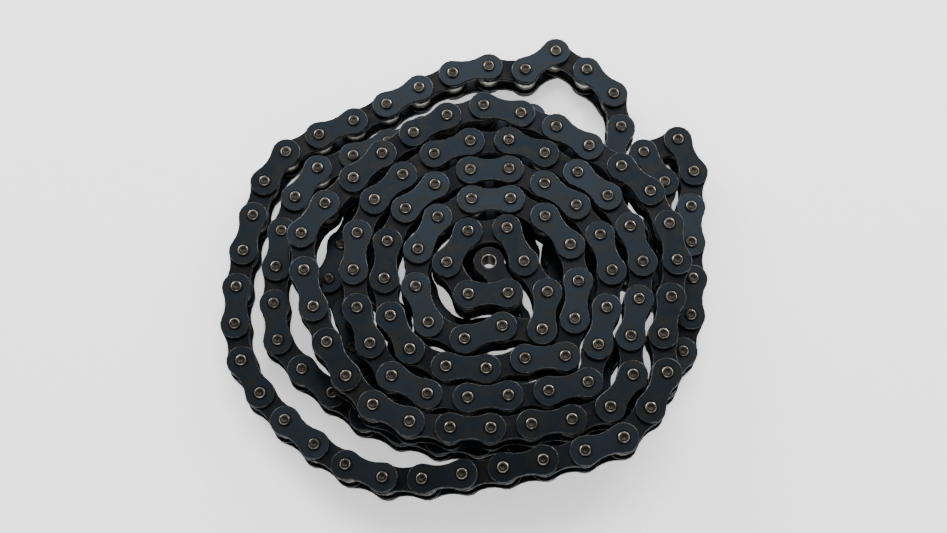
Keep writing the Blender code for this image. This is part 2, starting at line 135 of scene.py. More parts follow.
LOWER_RING = ((130, 74.5, 36), (131, 72.5, 23), (132, 72, 10.5), (133, 72.5, -2), (134, 71.5, -14.5),
              (135, 69.5, -27.5), (136, 64, -39), (137, 52, -46.5), (138, 40, -52), (140, 14, -57.5),
              (142, -12, -57.5), (144, -36, -48.5), (145, -46.5, -40.5), (146, -56, -33.5), (147, -64.5, -24),
              (148, -65.5, -11), (150, -64, 14), (151, -60, 26), (152, -53, 37), (153, -40.5, 41),
              (154, -29.5, 46), (156, -5.5, 55.5), (157, 7, 58), (158, 19.5, 58.5), (159, 29, 47))
LOWER_MIDDLE = ((160, 35, 34.5), (161, 36, 21.5), (163, 39, -4), (164, 41, -16.5), (165, 42.5, -28.5),
                (166, 37, -40), (167, 27, -44.5), (168, 15, -46), (170, -10.5, -45), (172, -32.5, -36),
                (174, -42, -15.5), (175, -45.5, -3), (176, -43.5, 9), (178, -30, 29), (180, -7, 40),
                (182, 18, 42))
LOWER_CENTRE = ((183, 25, 32), (185, 27, 7), (187, 30, -18), (188, 25, -28.5), (190, 0, -34.5),
                (191, -12, -32.5), (192, -21.5, -27.5), (193, -26, -16.5), (194, -30.5, -5), (196, -27, 18.5),
                (198, -5, 30), (200, 15.5, 20), (201, 17.5, 7), (202, 10.5, -4.5), (203, 13.5, -16.5),
                (204, 2, -21), (205, -10.5, -18), (206, -16.5, -7), (207, -18, 6), (208, -14.5, 18),
                (209, -2, 20), (210, -1, 7), (211, -2.5, -6))
MARKS = (INNER_TURN + SECOND_TURN + THIRD_TURN + FOURTH_TURN + OUTER_TURN + LOOSE_BEND + LOWER_RING
         + LOWER_MIDDLE + LOWER_CENTRE)

# How the chain settles between its marks. In each round a joint goes a share of the way back to its mark,
# beads that overlap are pushed apart by a share of the overlap, and the pitch is brought back.
SETTLE_ROUNDS = 700
HOLD = 0.06
PUSH = 0.3
PITCH_ROUNDS = 4

# Beads of a link: place along it as a share of the pitch, and radius in millimetres. Those at least this many
# joints apart along the chain, and closer than this in plan, in millimetres, keep their distance.
BEADS = ((0.0, LOBE_ROOM), (0.25, 4.3), (0.5, 3.7), (0.75, 4.3))
JOINTS_APART = 2.5
CLOSE = 16.0
# Keeps two beads at one place from a division by zero.
TINY = 1e-9

# Corners of the links as the CAD centres them, in millimetres, and the angles of a lobe's own corners.
PLAIN_CORNERS = ((-4.05, 3.55), (-4.05, -3.55), (6.35, -3.6), (16.75, -3.55), (16.75, 3.55), (6.35, 3.6))
LOBE_CORNER_ANGLES = (90.0, 150.0, 210.0, 270.0)

# Camera, from pins seen in the photograph: the point it looks at, its distance, lens and sensor in
# millimetres, and its height as an angle in degrees.
CAMERA_TARGET = (1.911, -4.896, 16.5)
CAMERA_DISTANCE = 530.9
CAMERA_ELEVATION = 70.64
CAMERA_LENS = 61.72
CAMERA_SENSOR = 36.0
CAMERA_NEAR = 10.0

# Studio, in metres and watts: each light's name, place, width and power, and half the floor's width.
LIGHTS = (
    ("back_high", (0.04, 0.43, 0.73), 0.4, 4.5),
    ("back_left", (-0.7, 0.8, 0.5), 0.4, 10.0),
    ("back_right", (0.7, 0.8, 0.5), 0.4, 10.0),
    ("front", (0.0, -1.1, 0.6), 0.6, 3.0),
)
FLOOR_HALF = 3.0
FLOOR_ROUGHNESS = 0.7
FLOOR_GLOW = 0.7
SOFT_LIGHT_FRONT = 0.55
SOFT_LIGHT_BEHIND = 1.2
SOFT_LIGHT_COLOUR = "FFFFFF"

# Finishes: mean roughness, the darkest tone of ground steel, and how metallic the dusty rollers are. The dark
# ring round a plate's holes, partly oil and partly painted shade round the pins, fades out between two radii,
# and bumps have a depth, in millimetres. The glare colour is that of light that glances off the oxide film.
OUTER_PLATE_ROUGHNESS = 0.4
INNER_PLATE_ROUGHNESS = 0.45
GROUND_ROUGHNESS = 0.3
GROUND_DARKEST = 0.6
ROLLER_METALLIC = 0.8
OIL_AND_SHADE_RING = (2.0, 2.7)
OIL_AND_SHADE_RING_SHARE = 0.6
OIL_AND_SHADE_RING_COLOUR = "070707"
GLARE_COLOUR = "BBBDC0"
BUMP_DEPTH = 0.05

# Sizes of the patterns in the finishes, in millimetres.
OIL_CLOUD = 6.25
OIL_STAIN = 4.17
RUBBED_PATCH = 1.43
TUMBLED_GRAIN = 0.385
HARDENING_SPOT = 2.0
BRIGHT_ARC = 1.54
SCUFF = 0.4

HEAP_NODES = [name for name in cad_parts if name.startswith(("upper_run", "lower_"))]
FIRST_OUTER_PLATES = ["first_outer_plate_upper", "first_outer_plate_lower"]
HINGE_PINS = ["hinge_pin_first", "hinge_pin_second"]


def hex_to_linear(code):
    """An sRGB hex colour as linear red, green and blue."""
    values = [int(code[place:place + 2], 16) / 255 for place in (0, 2, 4)]
    return tuple(v / 12.92 if v <= 0.04045 else ((v + 0.055) / 1.055) ** 2.4 for v in values)


def size_prop(name, description, default):
    """A length property, given in millimetres and kept in metres."""
    return FloatProperty(name=name, description=description, default=default * MM, min=0.0, unit="LENGTH",
                         precision=5)


def colour_prop(name, description, code):
    """A colour property with an sRGB hex default."""
    return FloatVectorProperty(name=name, description=description, default=hex_to_linear(code), min=0.0,
                               max=1.0, size=3, subtype="COLOR")


class ChainSizes(bpy.types.PropertyGroup):
    """Sizes of the chain's parts."""

    outer_lobe: size_prop("Outer plate lobe", "Radius of an outer plate round each pin", 4.86)
    outer_waist: size_prop("Outer plate waist", "Half width of an outer plate at its middle", 3.55)
    inner_lobe: size_prop("Inner plate lobe", "Radius of an inner plate round each bush", 4.95)
    inner_waist: size_prop("Inner plate waist", "Half width of an inner plate at its middle", 3.65)
    plate_edge: size_prop("Plate edge", "Width of the rolled-over edge on a plate's outer face", 0.2)
    pin_radius: size_prop("Pin radius", "Radius of a pin's end above the outer plate", 1.83)
    roller_radius: size_prop("Roller radius", "Radius of a roller", 3.885)


class ChainColours(bpy.types.PropertyGroup):
    """Colours of the chain's finishes."""

    blued: colour_prop("Blued steel", "Black-blue oxide on the outer plates", "171C21")
    dark: colour_prop("Heat-treated steel", "Brown-black oxide on the inner plates", "141519")
    oil: colour_prop("Dried oil", "Brown stain where oil has dried on the plates", "1F1E18")
    worn: colour_prop("Worn edge", "Steel that shows where the oxide has rubbed off", "858788")
    # This stain also darkens the inside of the free end's bushes, where it is partly painted shade in the
    # bore.
    pin: colour_prop("Pin steel", "Stained face of the riveted pins and the inside of the bushes", "2A2723")
    rim: colour_prop("Pin rim", "Bare steel on the rims of pins and bushes", "ABA499")
    roller: colour_prop("Roller steel", "Bright steel of the rollers", "D2CFC7")
    floor: colour_prop("Floor", "Pale floor under the heap", "FFFFFF")


def marks_to_targets():
    """A smooth line through the marks, with one point for each joint."""
    numbers = np.array([mark[0] for mark in MARKS], dtype=float)
    points = np.array([mark[1:] for mark in MARKS], dtype=float)
    slopes = np.empty_like(points)
    slopes[1:-1] = (points[2:] - points[:-2]) / (numbers[2:] - numbers[:-2])[:, None]
    slopes[0] = (points[1] - points[0]) / (numbers[1] - numbers[0])
    slopes[-1] = (points[-1] - points[-2]) / (numbers[-1] - numbers[-2])
    joints = np.arange(numbers[-1] + 1)
    left = np.clip(np.searchsorted(numbers, joints, side="right") - 1, 0, len(numbers) - 2)
    step = (numbers[left + 1] - numbers[left])[:, None]
    t = (joints - numbers[left])[:, None] / step
    start = (1 + 2 * t) * (1 - t) ** 2 * points[left] + t * (1 - t) ** 2 * step * slopes[left]
    end = t * t * (3 - 2 * t) * points[left + 1] + t * t * (t - 1) * step * slopes[left + 1]
    return start + end


def joint_heights(count):
    """Middle height of the chain at each joint: on the upper layer, down the ramp, on the floor."""
    t = np.clip((RAMP_FOOT - np.arange(count)) / (RAMP_FOOT - RAMP_TOP), 0.0, 1.0)
    return PIN_HALF + LAYER_RISE * t * t * (3 - 2 * t)


def bead_weights(count):
    """Beads along the chain: their weights on the joints, their radii, and their places in joints."""
    rows = []
    radii = []
    places = []
    for link in range(count):
        for part, radius in BEADS:
            if link + part <= count - 1:
                row = np.zeros(count)
                row[link] = 1.0 - part
                if part > 0.0:
                    row[link + 1] = part
                rows.append(row)
                radii.append(radius)
                places.append(link + part)
    return np.array(rows), np.array(radii), np.array(places)


def push_apart(points, weights, pairs, reach):
    """Moves joints so that beads of different turns in one layer keep their distance."""
    beads = weights @ points
    away = beads[pairs[0]] - beads[pairs[1]]
    distance = np.sqrt((away ** 2).sum(1)) + TINY
    shift = away * (PUSH * np.maximum(reach - distance, 0.0) / distance)[:, None]
    moved = np.zeros_like(beads)
    np.add.at(moved, pairs[0], shift)
    np.add.at(moved, pairs[1], -shift)
    return points + weights.T @ moved


def hold_pitch(points, flat):
    """Brings each pair of joints back to one pitch, first the even links and then the odd ones."""
    for first in (0, 1):
        a = points[first:-1:2]
        b = points[first + 1::2]
        a = a[:len(b)]
        line = b - a
        length = np.sqrt((line ** 2).sum(1))
        fix = 0.5 * (1.0 - flat[first::2][:len(b)] / length)[:, None] * line
        points[first:first + 2 * len(b):2] += fix
        points[first + 1::2] -= fix
    return points


def settle_chain():
    """Plan and height of each joint, in millimetres, with every pair one pitch apart."""
    targets = marks_to_targets()
    count = len(targets)
    heights = joint_heights(count)
    flat = np.sqrt(PITCH ** 2 - np.diff(heights) ** 2)
    weights, radii, places = bead_weights(count)
    beads = weights @ np.column_stack([targets, heights])
    spread = np.abs(beads[:, None, :] - beads[None, :, :])
    level = spread[:, :, 2] < 2 * OUTER_PLATE_OUT + LAYER_CLEARANCE
    close = np.hypot(spread[:, :, 0], spread[:, :, 1]) < CLOSE
    apart = np.abs(places[:, None] - places[None, :]) >= JOINTS_APART
    pairs = np.nonzero(np.triu(apart & level & close))
    reach = radii[pairs[0]] + radii[pairs[1]] + SIDE_GAP
    points = targets.copy()
    for step in range(SETTLE_ROUNDS):
        points += HOLD * (1.0 - step / SETTLE_ROUNDS) * (targets - points)
        points = push_apart(points, weights, pairs, reach)
        for _ in range(PITCH_ROUNDS):
            points = hold_pitch(points, flat)
    for joint in range(count - 1):
        line = points[joint + 1] - points[joint]
        points[joint + 1] = points[joint] + line * (flat[joint] / math.hypot(*line))
    return np.column_stack([points, heights])


def link_frame(route, link):
    """Frame of a link: its first pin, X towards its second pin and Z along the pins."""
    first = Vector(route[link])
    along = (Vector(route[link + 1]) - first).normalized()
    side = Vector((0.0, 0.0, 1.0)).cross(along).normalized()
    up = along.cross(side)
    matrix = Matrix.Identity(4)
    for row in range(3):
        matrix[row] = (along[row], side[row], up[row], first[row])
    return matrix


def centre_route(route):
    """Moves the chain so that the middle of the CAD links' outline is over the origin."""
    angles = [math.radians(angle) for angle in LOBE_CORNER_ANGLES]
    lobe = [(LOBE_ROOM * math.cos(angle), LOBE_ROOM * math.sin(angle)) for angle in angles]
    lobes = lobe + [(PITCH - x, -y) for x, y in lobe]
    outlines = (list(PLAIN_CORNERS), list(PLAIN_CORNERS) + lobes)
    corners = []
    for link in range(2, len(route) - 1):
        matrix = link_frame(route, link)
        corners += [matrix @ Vector((x, y, 0.0)) for x, y in outlines[link % 2]]
    for axis in (0, 1):
        values = [corner[axis] for corner in corners]
        route[:, axis] -= (min(values) + max(values)) / 2
    return route


@functools.lru_cache(maxsize=1)
def chain_route():
    """The settled chain: one row of X, Y and Z for each joint, in millimetres."""
    return centre_route(settle_chain())


def plate_outline(lobe, waist, lobe_points, waist_points):
    """Outline of a link plate, anticlockwise from above: two round lobes and two hollow waists."""
    half = PITCH * MM / 2
    hollow = (half ** 2 + waist ** 2 - lobe ** 2) / (2 * (lobe - waist))
    meet = math.atan2(waist + hollow, half)
    turn = 2 * math.pi - 2 * meet
    angles = [meet + turn * step / (lobe_points - 1) for step in range(lobe_points)]
    first = [(lobe * math.cos(angle), lobe * math.sin(angle)) for angle in angles]
    spread = math.pi / 2 - meet
    waist_angles = [spread * (2 * step / (waist_points + 1) - 1) for step in range(1, waist_points + 1)]
    lower = [(half + hollow * math.sin(angle), hollow * math.cos(angle) - waist - hollow)
             for angle in waist_angles]
    start = first + lower
    return start + [(2 * half - x, -y) for x, y in start]


def inset_outline(outline, amount):
    """The same outline, moved inwards by a small amount."""
    moved = []
    for step, (x, y) in enumerate(outline):
        x0, y0 = outline[step - 1]
        x1, y1 = outline[(step + 1) % len(outline)]
        length = math.hypot(x1 - x0, y1 - y0)
        moved.append((x - amount * (y1 - y0) / length, y + amount * (x1 - x0) / length))
    return moved


def add_rings(mesh, rings, wear_layer, wears, closed=False):
    """Joins rings of points into a wall, from first to last, with a wear value for each band."""
    rows = [[mesh.verts.new(point) for point in ring] for ring in rings]
    pairs = list(zip(rows, rows[1:] + rows[:1] if closed else rows[1:]))
    for (low, high), wear in zip(pairs, wears):
        for step in range(len(low)):
            after = (step + 1) % len(low)
            face = mesh.faces.new((low[step], low[after], high[after], high[step]))
            face.smooth = True
            face[wear_layer] = wear
    return rows


def cap_ring(mesh, row, wear_layer, wear, upwards):
    """Closes the end of a wall with one flat face."""
    face = mesh.faces.new(row if upwards else list(reversed(row)))
    face[wear_layer] = wear


def mark_creases(mesh):
    """Keeps sharp edges crisp in the shading."""
    limit = math.radians(CREASE_ANGLE)
    for edge in mesh.edges:
        edge.smooth = len(edge.link_faces) != 2 or edge.calc_face_angle(0.0) < limit


def keep_places(mesh):
    """Keeps each point's own place on its shape, in millimetres, for patterns that go with the shape."""
    layer = mesh.verts.layers.float_vector.new("place")
    for vertex in mesh.verts:
        vertex[layer] = vertex.co / MM


def new_shape():
    """An empty mesh with a wear value on its faces."""
    mesh = bmesh.new()
    return mesh, mesh.faces.layers.float.new("wear")


def shape_object(name, mesh):
    """A hidden object that holds one shape for the chain's links."""
    mark_creases(mesh)
    keep_places(mesh)
    data = bpy.data.meshes.new(name)
    mesh.to_mesh(data)
    mesh.free()
    return bpy.data.objects.new(name, data)


def plate_rings(outline, low, high, edge):
    """Rings of a blanked plate's edge: a bright sheared band, a dull one and the rolled-over corner."""
    levels = (low, low + (high - low) * SHEARED_BAND, high - edge * CORNER_DROP)
    rings = [[(x, y, level) for x, y in outline] for level in levels]
    return rings + [[(x, y, high) for x, y in inset_outline(outline, edge)]]


def plate_shape(name, lobe, waist, low, high, edge):
    """A blanked plate: a rolled-over edge on its outer face and a square one inside."""
    mesh, wear = new_shape()
    outline = plate_outline(lobe, waist, LOBE_POINTS, WAIST_POINTS)
    rows = add_rings(mesh, plate_rings(outline, low, high, edge), wear, PLATE_EDGE_WEAR)
    cap_ring(mesh, rows[-1], wear, 0.0, True)
    cap_ring(mesh, rows[0], wear, 0.0, False)
    return shape_object(name, mesh)


def turned_shape(name, profile, sides, wears, end_wear):
    """A turned piece round Z from a profile of radius and height, with a flat cap at each end."""
    mesh, wear = new_shape()
    turns = [2 * math.pi * step / sides for step in range(sides)]
    rings = [[(radius * math.cos(turn), radius * math.sin(turn), height) for turn in turns]
             for radius, height in profile]
    rows = add_rings(mesh, rings, wear, wears)
    cap_ring(mesh, rows[0], wear, end_wear, False)
    cap_ring(mesh, rows[-1], wear, end_wear, True)
    return shape_object(name, mesh)


def pin_shape(radius):
    """A riveted pin: its upper end is spread a little over the plate and dimpled by the rivet tool."""
    profile = [(radius * PIN_LOWER_SHARE, -PIN_HALF * MM)]
    profile += [(radius - step * MM, height * MM) for step, height in PIN_HEAD]
    profile += [(dimple * MM, height * MM) for dimple, height in PIN_DIMPLE]
    return turned_shape("pin_shape", profile, PIN_SIDES, PIN_WEAR, 0.0)


def roller_shape(radius):
    """A roller with rounded edges."""
    half = ROLLER_HALF * MM
    edge = ROLLER_EDGE * MM
    profile = [(radius - edge, -half), (radius, edge - half), (radius, half - edge), (radius - edge, half)]
    wears = (ROLLER_EDGE_WEAR, 0.0, ROLLER_EDGE_WEAR)
    return turned_shape("roller_shape", profile, ROLLER_SIDES, wears, ROLLER_END_WEAR)


def link_points(name, route, links):
    """A mesh with one point for each link at its first pin, and the link's turn kept on the point."""
    data = bpy.data.meshes.new(name)
    frames = [link_frame(route, link) for link in links]
    data.from_pydata([matrix.translation * MM for matrix in frames], [], [])
    turns = data.attributes.new("turn", "FLOAT_VECTOR", "POINT")
    for step, matrix in enumerate(frames):
        turns.data[step].vector = matrix.to_euler("XYZ")
    obj = bpy.data.objects.new(name, data)
    bpy.context.scene.collection.objects.link(obj)
    return obj


def add_node(tree, kind, settings=None, links=None):
    """Adds a node. Settings name its properties or sockets; links name the sockets that feed its own."""
    node = tree.nodes.new(kind)
    for name, value in (settings or {}).items():
        if isinstance(name, str) and hasattr(node, name):
            setattr(node, name, value)
        else:
            node.inputs[name].default_value = value
    for name, source in (links or {}).items():
        tree.links.new(source, node.inputs[name])
    return node


TREE_INPUTS = (
    ("Links", "NodeSocketGeometry"),
    ("Shape", "NodeSocketObject"),
    ("Second place", "NodeSocketVector"),
    ("Second turn", "NodeSocketVector"),
    ("Loose turn", "NodeSocketFloat"),
    ("Seed", "NodeSocketInt"),
    ("Finish", "NodeSocketMaterial"),
)
# What the second place of a link adds to the seed.
SECOND_SEED_STEP = 17.0


def two_per_link_tree():
    """Geometry Nodes that put a shape at two places of each link, each with a tone of its own."""
    tree = bpy.data.node_groups.get("Two per link")
    if tree is not None:
        return tree
    tree = bpy.data.node_groups.new("Two per link", "GeometryNodeTree")
    for name, kind in TREE_INPUTS:
        tree.interface.new_socket(name, in_out="INPUT", socket_type=kind)
    tree.interface.new_socket("Pieces", in_out="OUTPUT", socket_type="NodeSocketGeometry")
    given = add_node(tree, "NodeGroupInput").outputs
    turn = add_node(tree, "GeometryNodeInputNamedAttribute", {"data_type": "FLOAT_VECTOR", "Name": "turn"})
    link_turn = add_node(tree, "FunctionNodeEulerToRotation", links={0: turn.outputs["Attribute"]}).outputs[0]
    shape = add_node(tree, "GeometryNodeObjectInfo", links={"Object": given["Shape"]}).outputs["Geometry"]
    offset = add_node(tree, "FunctionNodeRotateVector",
                      links={"Vector": given["Second place"], "Rotation": link_turn}).outputs[0]
    second_links = add_node(tree, "GeometryNodeSetPosition",
                            links={"Geometry": given["Links"], "Offset": offset}).outputs[0]
    second = add_node(tree, "FunctionNodeEulerToRotation", links={0: given["Second turn"]}).outputs[0]
    second_turn = add_node(tree, "FunctionNodeRotateRotation", {"rotation_space": "LOCAL"},
                           {"Rotation": link_turn, "Rotate By": second}).outputs[0]
    pieces = add_node(tree, "GeometryNodeJoinGeometry")
    for step, (points, rotation) in enumerate(((given["Links"], link_turn), (second_links, second_turn))):
        seed = add_node(tree, "ShaderNodeMath", {"operation": "ADD", 1: SECOND_SEED_STEP * step},
                        {0: given["Seed"]}).outputs[0]
        spin = add_node(tree, "FunctionNodeRandomValue", {"data_type": "FLOAT"},
                        {"Max": given["Loose turn"], "Seed": seed}).outputs[1]
        loose = add_node(tree, "ShaderNodeCombineXYZ", links={"Z": spin}).outputs[0]
        loose_turn = add_node(tree, "FunctionNodeEulerToRotation", links={0: loose}).outputs[0]
        final = add_node(tree, "FunctionNodeRotateRotation", {"rotation_space": "LOCAL"},
                         {"Rotation": rotation, "Rotate By": loose_turn}).outputs[0]
        copies = add_node(tree, "GeometryNodeInstanceOnPoints",
                          links={"Points": points, "Instance": shape, "Rotation": final})
        tone = add_node(tree, "FunctionNodeRandomValue", {"data_type": "FLOAT"}, {"Seed": seed}).outputs[1]
        toned = add_node(tree, "GeometryNodeStoreNamedAttribute",
                         {"data_type": "FLOAT", "domain": "INSTANCE", "Name": "tone"},
                         {"Geometry": copies.outputs[0], "Value": tone})
        tree.links.new(toned.outputs[0], pieces.inputs[0])
    whole = add_node(tree, "GeometryNodeRealizeInstances", links={"Geometry": pieces.outputs[0]})
    finished = add_node(tree, "GeometryNodeSetMaterial",
                        links={"Geometry": whole.outputs[0], "Material": given["Finish"]})
    add_node(tree, "NodeGroupOutput", links={0: finished.outputs[0]})
    return tree


def rides(piece, body, nodes):
    """Ties a finished piece to its body and the CAD nodes that it stands for."""
    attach(piece, body)
    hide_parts(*nodes)


def lay_pieces(name, first_link, nodes, values):
    """Runs the tree on every second link, and keeps the result as a plain mesh that rides on the heap."""
    route = chain_route()
    points = link_points(name + "_points", route, range(first_link, len(route) - 1, 2))
    tree = two_per_link_tree()
    modifier = points.modifiers.new("Two per link", "NODES")
    modifier.node_group = tree
    sockets = {item.name: item.identifier for item in tree.interface.items_tree if item.in_out == "INPUT"}
    for label, value in values.items():
        modifier[sockets[label]] = value
    evaluated = points.evaluated_get(bpy.context.evaluated_depsgraph_get())
    data = bpy.data.meshes.new_from_object(evaluated)
    data.name = name
    points.modifiers.remove(modifier)
    bpy.data.objects.remove(points)
    bpy.data.objects.remove(values["Shape"])
    if len(data.polygons) == 0:
        raise RuntimeError(f"{name}: the tree made no faces")
    piece = bpy.data.objects.new(name, data)
    bpy.context.scene.collection.objects.link(piece)
    rides(piece, "heap", nodes)


def new_material(name):
    """An empty node material with its output's shader."""
    material = bpy.data.materials.new(name)
    material.use_nodes = True
    return material, material.node_tree, material.node_tree.nodes["Principled BSDF"]


def per_metre(size):
    """The scale of a noise whose spots have a size in millimetres."""
    return 1.0 / (size * MM)


def surface_terms(tree):
    """What every steel finish starts from: place on the piece, and the wear and tone kept on the mesh."""
    place = add_node(tree, "ShaderNodeTexCoord").outputs["Object"]
    wear = add_node(tree, "ShaderNodeAttribute", {"attribute_name": "wear"}).outputs["Fac"]
    tone = add_node(tree, "ShaderNodeAttribute", {"attribute_name": "tone"}).outputs["Fac"]
    return place, wear, tone


def set_shader(tree, shader, colour, roughness, height, strength, metallic):
    """Feeds a steel's shader with its colour, roughness and bump."""
    bump = add_node(tree, "ShaderNodeBump", {"Strength": strength, "Distance": BUMP_DEPTH * MM},
                    {"Height": height})
    tree.links.new(colour, shader.inputs["Base Color"])
    tree.links.new(roughness, shader.inputs["Roughness"])
    tree.links.new(bump.outputs["Normal"], shader.inputs["Normal"])
    shader.inputs["Metallic"].default_value = metallic


def hole_shade(tree, place):
    """How far a point of a plate is inside the dark ring round its two holes, from 0 to 1: partly oil, partly
    painted shade round the pins.
    """
    steps = add_node(tree, "ShaderNodeSeparateXYZ", links={0: place}).outputs
    # Ping-pong folds the plate at its middle, so that one hole lies on the other.
    nearer = add_node(tree, "ShaderNodeMath", {"operation": "PINGPONG", 1: PITCH / 2},
                      {0: steps["X"]}).outputs[0]
    flat = add_node(tree, "ShaderNodeCombineXYZ", links={"X": nearer, "Y": steps["Y"]}).outputs[0]
    away = add_node(tree, "ShaderNodeVectorMath", {"operation": "LENGTH"}, {0: flat}).outputs["Value"]
    fade = {"interpolation_type": "SMOOTHSTEP", "From Min": OIL_AND_SHADE_RING[0], "From Max": OIL_AND_SHADE_RING[1],
            "To Min": 1.0, "To Max": 0.0}
    return add_node(tree, "ShaderNodeMapRange", fade, {"Value": away}).outputs[0]


def oxide_finish(name, base, colours, mean_roughness):
    """Black oxide on a blanked plate: half matt, mottled by oil, and rubbed bare on its edges."""
    material, tree, shader = new_material(name)
    place, wear, tone = surface_terms(tree)
    own_place = add_node(tree, "ShaderNodeAttribute", {"attribute_name": "place"}).outputs["Vector"]
    # Oil dries in clouds of about 6 mm, which vary the tone that each plate has of its own.
    clouds = add_node(tree, "ShaderNodeTexNoise", {"Scale": per_metre(OIL_CLOUD), "Detail": 3.0},
                      {"Vector": place}).outputs[0]
    mixed = add_node(tree, "ShaderNodeMath", {"operation": "ADD"}, {0: clouds, 1: tone}).outputs[0]
    light = add_node(tree, "ShaderNodeMapRange",
                     {"From Min": 0.2, "From Max": 1.6, "To Min": 0.6, "To Max": 1.4},
                     {"Value": mixed}).outputs[0]
    toned = add_node(tree, "ShaderNodeMix", {"data_type": "RGBA", "blend_type": "MULTIPLY", "Factor": 1.0,
                                             6: (*base, 1.0)}, {7: light}).outputs[2]
    # The drying oil leaves brown stains of about 4 mm between the clouds.
    drops = add_node(tree, "ShaderNodeTexNoise",
                     {"Scale": per_metre(OIL_STAIN), "Detail": 4.0, "Roughness": 0.6},
                     {"Vector": place}).outputs[0]
    stain = add_node(tree, "ShaderNodeMapRange", {"From Min": 0.45, "From Max": 0.68, "To Max": 0.75},
                     {"Value": drops}).outputs[0]
    stained = add_node(tree, "ShaderNodeMix", {"data_type": "RGBA", 7: (*colours.oil, 1.0)},
                       {"Factor": stain, 6: toned}).outputs[2]
    # Handling rubs the blanked edge bright in patches of about 1.4 mm.
    patches = add_node(tree, "ShaderNodeTexNoise", {"Scale": per_metre(RUBBED_PATCH), "Detail": 2.0},
                       {"Vector": place}).outputs[0]
    rubbed = add_node(tree, "ShaderNodeMapRange",
                      {"From Min": 0.35, "From Max": 0.65, "To Min": 0.15, "To Max": 0.8},
                      {"Value": patches}).outputs[0]
    share = add_node(tree, "ShaderNodeMath", {"operation": "MULTIPLY"}, {0: rubbed, 1: wear}).outputs[0]
    rubbed_colour = add_node(tree, "ShaderNodeMix", {"data_type": "RGBA", 7: (*colours.worn, 1.0)},
                             {"Factor": share, 6: stained}).outputs[2]
    # Oil and polishing dust stay in a ring round each pin, and the dark ring is also painted shade where the
    # pins shadow the plate.
    ring = add_node(tree, "ShaderNodeMath", {"operation": "MULTIPLY", 1: OIL_AND_SHADE_RING_SHARE},
                    {0: hole_shade(tree, own_place)}).outputs[0]
    ring_colour = (*hex_to_linear(OIL_AND_SHADE_RING_COLOUR), 1.0)
    colour = add_node(tree, "ShaderNodeMix", {"data_type": "RGBA", 7: ring_colour},
                      {"Factor": ring, 6: rubbed_colour}).outputs[2]
    roughness = add_node(tree, "ShaderNodeMapRange",
                         {"To Min": mean_roughness - 0.06, "To Max": mean_roughness + 0.1},
                         {"Value": clouds}).outputs[0]
    # Tumbling leaves a grain finer than 0.1 mm under the oxide, drawn as coarse as 0.4 mm so that it shows.
    grain = add_node(tree, "ShaderNodeTexNoise", {"Scale": per_metre(TUMBLED_GRAIN), "Detail": 2.0},
                     {"Vector": place}).outputs[0]
    set_shader(tree, shader, colour, roughness, grain, strength=0.35, metallic=1.0)
    # The thin oxide film glares less than bare metal when it is seen along the plate.
    shader.inputs["Specular Tint"].default_value = (*hex_to_linear(GLARE_COLOUR), 1.0)
    return material


def ground_finish(name, base, bright, metallic=1.0):
    """Ground steel: stained by its hardening, and bright in arcs where it was riveted or where it rubs."""
    material, tree, shader = new_material(name)
    place, wear, tone = surface_terms(tree)
    # Hardening stains it in spots of 2 mm, which vary the tone that each piece has of its own.
    stains = add_node(tree, "ShaderNodeTexNoise", {"Scale": per_metre(HARDENING_SPOT), "Detail": 3.0},
                      {"Vector": place}).outputs[0]
    mixed = add_node(tree, "ShaderNodeMath", {"operation": "ADD"}, {0: stains, 1: tone}).outputs[0]
    light = add_node(tree, "ShaderNodeMapRange",
                     {"From Min": 0.2, "From Max": 1.6, "To Min": GROUND_DARKEST, "To Max": 1.0},
                     {"Value": mixed}).outputs[0]
    stained = add_node(tree, "ShaderNodeMix", {"data_type": "RGBA", "blend_type": "MULTIPLY", "Factor": 1.0,
                                               6: (*base, 1.0)}, {7: light}).outputs[2]
    # The tool leaves the rims bright in arcs of about 1.5 mm.
    arcs = add_node(tree, "ShaderNodeTexNoise", {"Scale": per_metre(BRIGHT_ARC), "Detail": 1.0},
                    {"Vector": place}).outputs[0]
    struck = add_node(tree, "ShaderNodeMapRange", {"From Min": 0.4, "From Max": 0.6, "To Min": 0.3},
                      {"Value": arcs}).outputs[0]
    share = add_node(tree, "ShaderNodeMath", {"operation": "MULTIPLY"}, {0: struck, 1: wear}).outputs[0]
    colour = add_node(tree, "ShaderNodeMix", {"data_type": "RGBA", 7: (*bright, 1.0)},
                      {"Factor": share, 6: stained}).outputs[2]
    # Scuffs from grinding and from rubbing are about 0.4 mm wide.
    scuffs = add_node(tree, "ShaderNodeTexNoise", {"Scale": per_metre(SCUFF), "Detail": 2.0},
                      {"Vector": place}).outputs[0]
    roughness = add_node(tree, "ShaderNodeMapRange",
                         {"To Min": GROUND_ROUGHNESS - 0.05, "To Max": GROUND_ROUGHNESS + 0.15},
                         {"Value": scuffs}).outputs[0]
    set_shader(tree, shader, colour, roughness, scuffs, strength=0.2, metallic=metallic)
    return material


class CHAIN_OT_camera(bpy.types.Operator):
    """Puts the camera at the photograph's place"""

    bl_idname = "chain.camera"
    bl_label = "Camera"

    def execute(self, context):
        elevation = math.radians(CAMERA_ELEVATION)
        target = Vector(CAMERA_TARGET) * MM
        away = Vector((0.0, -math.cos(elevation), math.sin(elevation))) * CAMERA_DISTANCE * MM
        data = bpy.data.cameras.new("camera")
        data.lens = CAMERA_LENS
        data.sensor_width = CAMERA_SENSOR
        data.clip_start = CAMERA_NEAR * MM
        camera = bpy.data.objects.new("camera", data)
        camera.location = target + away
        camera.rotation_euler = (math.pi / 2 - elevation, 0.0, 0.0)
        context.scene.collection.objects.link(camera)
        context.scene.camera = camera
        return {"FINISHED"}


